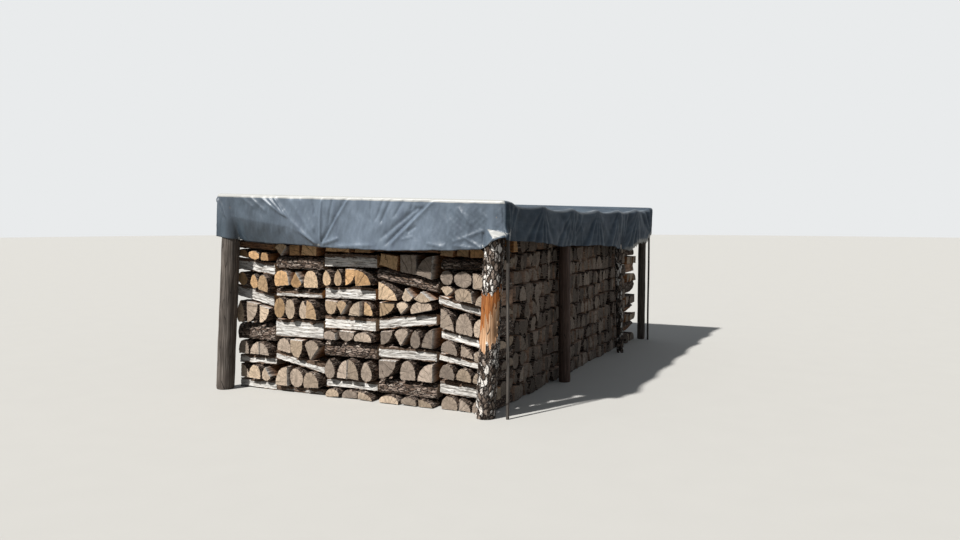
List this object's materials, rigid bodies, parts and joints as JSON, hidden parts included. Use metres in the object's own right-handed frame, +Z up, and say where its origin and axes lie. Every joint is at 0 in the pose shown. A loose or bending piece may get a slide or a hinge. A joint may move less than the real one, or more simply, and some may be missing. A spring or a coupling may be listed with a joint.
{
  "type": "log store",
  "caption": "Open pole-frame log store, stacked full of split firewood under a flat pole roof with a draped dark green tarpaulin.",
  "frame": {"origin": "on the ground, under the middle of the tarpaulin", "axes": "+X to the right along the front, +Y from the front to the back, +Z up"},
  "size_m": [2.9361, 4.802, 1.795],
  "materials": {
    "tarpaulin": "satin",
    "weathered_pole": "matte",
    "bark_pole": "matte",
    "firewood": "matte",
    "lath": "matte"
  },
  "bodies": {
    "root": {"front_left_post": "weathered_pole", "front_right_post": "bark_pole", "right_post_2": "weathered_pole", "right_post_3": "bark_pole", "back_right_post": "weathered_pole", "left_post_2": "weathered_pole", "left_post_3": "weathered_pole", "back_left_post": "weathered_pole", "left_plate": "weathered_pole", "right_plate": "weathered_pole", "rafter_1": "weathered_pole", "rafter_2": "weathered_pole", "rafter_3": "weathered_pole", "rafter_4": "weathered_pole", "rafter_5": "weathered_pole", "rafter_6": "weathered_pole", "rafter_7": "weathered_pole", "front_lath": "lath", "back_lath": "lath", "front_crib_1": "firewood", "front_crib_2": "firewood", "front_crib_3": "firewood", "front_crib_4": "firewood", "front_crib_5": "firewood", "back_crib_1": "firewood", "back_crib_2": "firewood", "back_crib_3": "firewood", "back_crib_4": "firewood", "back_crib_5": "firewood", "left_row_front_bay": "firewood", "left_row_middle_bay": "firewood", "left_row_back_bay": "firewood", "right_row_front_bay": "firewood", "right_row_middle_bay": "firewood", "right_row_back_bay": "firewood", "inner_row_1": "firewood", "inner_row_2": "firewood", "inner_row_3": "firewood", "cover_top": "tarpaulin", "cover_front_side": "tarpaulin", "cover_right_side": "tarpaulin", "cover_back_side": "tarpaulin", "cover_left_side": "tarpaulin"}
  },
  "joints": []
}
